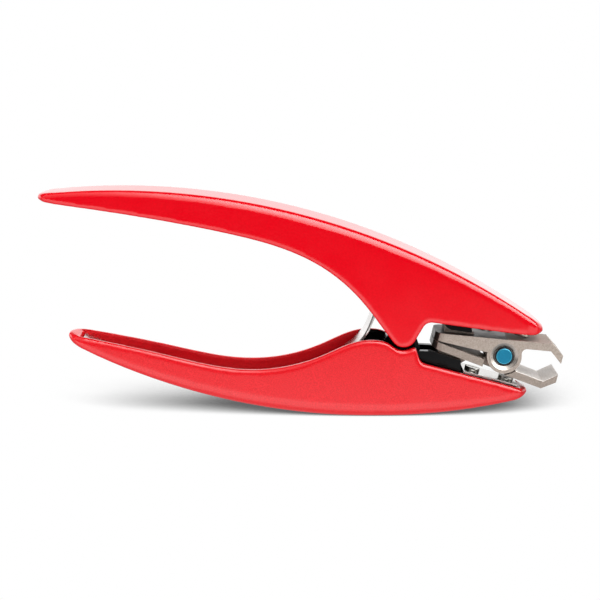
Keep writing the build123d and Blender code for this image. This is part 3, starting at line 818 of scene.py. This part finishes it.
@dataclass
class LeafSpring:
    """The strip spring between the handles."""

    bend_from_mm: tuple[float, float, float] = (2.0, 0.0, 12.0)
    bend_to_mm: tuple[float, float, float] = (20.2, 0.0, 29.0)
    edge_mm: float = 0.15
    segments: int = 2
    sharp_deg: float = 40.0

    def build(self, nodes: dict[str, bpy.types.Object], paints: Materials) -> list[bpy.types.Object]:
        """Make the strip with rolled edges, where it lies between the two handles.

        Args:
            nodes: CAD objects by name.
            paints: The finishes.

        Returns:
            The new piece, in a list.
        """
        obj = merged_copy(nodes["leaf_spring"], "leaf_spring_strip")
        apply_modifier(
            obj,
            "BEVEL",
            width=self.edge_mm * MM,
            segments=self.segments,
            limit_method="ANGLE",
            angle_limit=math.radians(self.sharp_deg),
        )
        smooth(obj, self.sharp_deg)
        dress(obj, paints.get(SPRING_STEEL))
        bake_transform(obj)
        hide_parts("leaf_spring")
        return [obj]


@dataclass
class InnerPins:
    """Pins and washers that keep their CAD form: ground, or black where their ends show."""

    finishes: tuple[tuple[str, Finish], ...] = (
        ("hinge_pin", PIN_STEEL),
        ("hinge_washers", PIN_STEEL),
        ("upper_link_pin", BLACK_OXIDE),
        ("lower_link_pin", BLACK_OXIDE),
        ("jaw_pivot_pin", PIN_STEEL),
        ("jaw_washers", PIN_STEEL),
    )

    def build(self, nodes: dict[str, bpy.types.Object], paints: Materials) -> list[bpy.types.Object]:
        """Give each its material.

        Args:
            nodes: CAD objects by name.
            paints: The finishes.

        Returns:
            The dressed CAD objects.
        """
        for name, finish in self.finishes:
            for slot in nodes[name].material_slots:
                slot.material = paints.get(finish)
        return [nodes[name] for name, _ in self.finishes]


@dataclass
class Studio:
    """Floor, lights and camera."""

    floor_mm: float = 6000.0
    floor_shift_mm: float = 1500.0
    # The floor's shade: the way it looks for what stands near, how far, how often, and its tones
    shade_lean: tuple[float, float, float] = (0.0, -3.0, 1.0)
    shade_reach_mm: float = 55.0
    shade_samples: int = 24
    shade_tones: tuple[tuple[float, str], ...] = ((0.54, "#626262"), (0.87, "#FFFFFF"))
    camera_mm: tuple[float, float, float] = (-0.31, -442.6, 116.7)
    target_mm: tuple[float, float, float] = (-0.31, 0.0, 30.63)
    field_deg: float = 20.48
    clip_mm: tuple[float, float] = (10.0, 200000.0)
    # Light by the angle up from the front and over to the back, in degrees: on matt surfaces, in gloss,
    # and the long box overhead that gloss also shows
    matt_room: tuple[tuple[float, float], ...] = (
        (-180.0, 0.6),
        (-90.0, 0.45),
        (0.0, 1.12),
        (45.0, 1.25),
        (90.0, 1.6),
        (140.0, 1.0),
        (180.0, 0.6),
    )
    gloss_room: tuple[tuple[float, float], ...] = (
        (-180.0, 1.7),
        (-173.0, 1.2),
        (-165.0, 0.2),
        (-80.0, 0.6),
        (-45.0, 2.0),
        (-18.0, 2.1),
        (-14.4, 1.2),
        (-13.3, 0.7),
        (-11.9, 0.12),
        (-10.5, 0.03),
        (0.0, 0.02),
        (156.0, 0.02),
        (161.0, 1.15),
        (180.0, 1.5),
    )
    long_box: tuple[tuple[float, float], ...] = (
        (10.0, 0.0),
        (16.0, 3.5),
        (40.0, 7.0),
        (70.0, 9.5),
        (92.0, 8.5),
        (101.0, 3.0),
        (107.0, 0.0),
    )
    # Along the tool, by the X part of a ray: where the box comes up from its least, and where the
    # room's gloss goes down to its least
    box_fade: tuple[float, float] = (-0.3, 0.25)
    box_least: float = 0.1
    room_fade: tuple[float, float] = (0.15, 0.6)
    room_least: float = 0.74

    def build(self) -> None:
        """Set up the floor, the room's light and the camera."""
        self.floor()
        self.light()
        self.camera()

    def floor(self) -> None:
        """Lay a pale floor that glows, with a shadow painted into its glow from what stands over it."""
        bpy.ops.object.select_all(action="DESELECT")
        bpy.ops.mesh.primitive_plane_add(
            size=self.floor_mm * MM,
            location=(self.floor_shift_mm * MM, 0, 0),
        )
        bpy.ops.object.transform_apply(location=True)
        floor = bpy.context.object
        floor.name = "studio_floor"
        floor.visible_glossy = False
        made = bpy.data.materials.new("glowing_floor_painted_shadow")
        made.use_nodes = True
        tree = made.node_tree
        tree.nodes.clear()
        lean = add_node(tree, "ShaderNodeCombineXYZ", inputs=dict(enumerate(self.shade_lean)))
        shade = add_node(
            tree,
            "ShaderNodeAmbientOcclusion",
            {"samples": self.shade_samples},
            {"Distance": self.shade_reach_mm * MM, "Normal": lean.outputs[0]},
        )
        ramp = add_node(tree, "ShaderNodeValToRGB", inputs={"Fac": shade.outputs["AO"]})
        for stop, (spot, tone) in zip(ramp.color_ramp.elements, self.shade_tones):
            stop.position = spot
            stop.color = linear(tone)
        # The floor glows instead of being lit; the occlusion paints its shadow
        shadowed_glow = add_node(tree, "ShaderNodeEmission", inputs={"Color": ramp.outputs[0], "Strength": 1.0})
        add_node(tree, "ShaderNodeOutputMaterial", inputs={"Surface": shadowed_glow.outputs[0]})
        dress(floor, made)

    def light(self) -> None:
        """Light the room softly from the front, with a long box overhead that only gloss shows."""
        world = bpy.data.worlds.new("studio_room")
        bpy.context.scene.world = world
        world.use_nodes = True
        world.cycles.sampling_method = "NONE"
        tree = world.node_tree
        tree.nodes.clear()
        place = add_node(tree, "ShaderNodeTexCoord")
        way = add_node(tree, "ShaderNodeSeparateXYZ", inputs={0: place.outputs["Generated"]})
        share = self.turn_share(tree, way)
        fade = add_node(
            tree,
            "ShaderNodeMapRange",
            {"interpolation_type": "SMOOTHSTEP"},
            {
                "Value": way.outputs["X"],
                "From Min": self.box_fade[0],
                "From Max": self.box_fade[1],
                "To Min": self.box_least,
            },
        )
        dim = add_node(
            tree,
            "ShaderNodeMapRange",
            inputs={
                "Value": way.outputs["X"],
                "From Min": self.room_fade[0],
                "From Max": self.room_fade[1],
                "To Min": 1.0,
                "To Max": self.room_least,
            },
        )
        matt = self.glow(tree, share, self.matt_room, 1.0)
        gloss = self.glow(tree, share, self.gloss_room, dim.outputs[0])
        box = self.glow(tree, share, self.long_box, fade.outputs[0])
        white = add_node(
            tree,
            "ShaderNodeBackground",
            inputs={"Color": linear("#FFFFFF"), "Strength": 1.0},
        )
        shine = add_node(tree, "ShaderNodeAddShader", inputs={0: gloss, 1: box})
        seen = add_node(tree, "ShaderNodeLightPath")
        lit = add_node(
            tree,
            "ShaderNodeMixShader",
            inputs={0: seen.outputs["Is Glossy Ray"], 1: matt, 2: shine.outputs[0]},
        )
        shown = add_node(
            tree,
            "ShaderNodeMixShader",
            inputs={0: seen.outputs["Is Camera Ray"], 1: lit.outputs[0], 2: white.outputs[0]},
        )
        add_node(tree, "ShaderNodeOutputWorld", inputs={"Surface": shown.outputs[0]})

    def turn_share(self, tree: bpy.types.NodeTree, way: bpy.types.Node) -> bpy.types.NodeSocket:
        """Add the angle round the tool's length, from the front up and over to the back.

        Args:
            tree: The world's node tree.
            way: The direction of the light, split into X, Y and Z.

        Returns:
            The angle as a share of the full turn, with the front at a half.
        """
        front = add_node(
            tree,
            "ShaderNodeMath",
            {"operation": "MULTIPLY"},
            {0: way.outputs["Y"], 1: -1.0},
        )
        turn = add_node(
            tree,
            "ShaderNodeMath",
            {"operation": "ARCTAN2"},
            {0: way.outputs["Z"], 1: front.outputs[0]},
        )
        share = add_node(
            tree,
            "ShaderNodeMapRange",
            inputs={"Value": turn.outputs[0], "From Min": -math.pi, "From Max": math.pi},
        )
        return share.outputs[0]

    def glow(
        self,
        tree: bpy.types.NodeTree,
        share: bpy.types.NodeSocket,
        stops: tuple[tuple[float, float], ...],
        strength: Any,
    ) -> bpy.types.NodeSocket:
        """Add a light that changes with the angle round the tool's length.

        Args:
            tree: The world's node tree.
            share: The angle as a share of the full turn.
            stops: Angles in degrees and the light at each.
            strength: What the light is multiplied by: a number, or a socket.

        Returns:
            The light's shader output.
        """
        ramp = add_node(tree, "ShaderNodeValToRGB", inputs={"Fac": share})
        elements = ramp.color_ramp.elements
        for index, (angle, light) in enumerate(stops):
            spot = (angle + 180) / 360
            stop = elements[index] if index < len(elements) else elements.new(spot)
            stop.position = spot
            stop.color = (light, light, light, 1.0)
        sky = add_node(
            tree,
            "ShaderNodeBackground",
            inputs={"Color": ramp.outputs[0], "Strength": strength},
        )
        return sky.outputs[0]

    def camera(self) -> None:
        """Stand the camera where the photograph was taken from."""
        bpy.ops.object.camera_add(location=Vector(self.camera_mm) * MM)
        camera = bpy.context.object
        look = (Vector(self.target_mm) - Vector(self.camera_mm)).normalized()
        camera.rotation_mode = "QUATERNION"
        camera.rotation_quaternion = look.to_track_quat("-Z", "Y")
        camera.data.angle = math.radians(self.field_deg)
        camera.data.clip_start = self.clip_mm[0] * MM
        camera.data.clip_end = self.clip_mm[1] * MM
        bpy.context.scene.camera = camera
        bpy.context.scene.view_settings.view_transform = "Standard"


def main() -> None:
    """Load the frame, build every sub-assembly in order and note the sizes."""
    logging.basicConfig(level=logging.INFO, format="%(name)s: %(message)s")
    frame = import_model()
    nodes = frame["nodes"]
    paints = Materials()
    assemblies = (
        Shells(),
        Jaws(
            edge_mm=0.14,
            segments=2,
            finish=BLASTED_STEEL,
            slot=Slot.BLASTED,
            pieces=(("upper_jaw", Body.UPPER_JAW),),
        ),
        Jaws(
            edge_mm=0.14,
            segments=2,
            # The lower jaw takes a darker copy of the same steel: painted shade
            finish=SHADED_BLASTED_STEEL,
            slot=Slot.BLASTED,
            pieces=(("lower_jaw", Body.LOWER_JAW),),
        ),
        Machined(
            edge_mm=0.25,
            segments=2,
            finish=BLACK_NYLON,
            slot=Slot.BLACK,
            pieces=(("upper_carrier", Body.UPPER_HANDLE), ("lower_carrier", Body.LOWER_HANDLE)),
        ),
        Machined(
            edge_mm=0.12,
            segments=2,
            finish=POLISHED_STEEL,
            slot=Slot.POLISHED,
            pieces=(("upper_front_plate", Body.UPPER_HANDLE), ("lower_front_plate", Body.LOWER_HANDLE)),
        ),
        Machined(
            edge_mm=0.3,
            segments=3,
            finish=SCREW_STEEL,
            slot=Slot.SCREW,
            pieces=(
                ("upper_carrier_screws", Body.UPPER_HANDLE),
                ("lower_carrier_screws", Body.LOWER_HANDLE),
                ("upper_plate_screws", Body.UPPER_HANDLE),
                ("spring_screw", Body.LOWER_HANDLE),
            ),
        ),
        PlateScrews(
            edge_mm=0.25,
            segments=3,
            finish=SCREW_STEEL,
            slot=Slot.SCREW,
            pieces=(("lower_plate_screws", Body.LOWER_HANDLE),),
        ),
        PinCaps(
            edge_mm=0.05,
            segments=2,
            finish=BLUE_ANODISED,
            slot=Slot.BLUE,
            pieces=(("jaw_pin_caps", Body.UPPER_JAW),),
        ),
        LeafSpring(),
        InnerPins(),
    )
    for assembly in assemblies:
        for piece in assembly.build(nodes, paints):
            LOG.info("%s: %d faces", piece.name, len(piece.data.polygons))
    Studio().build()


if __name__ == "__main__":
    main()
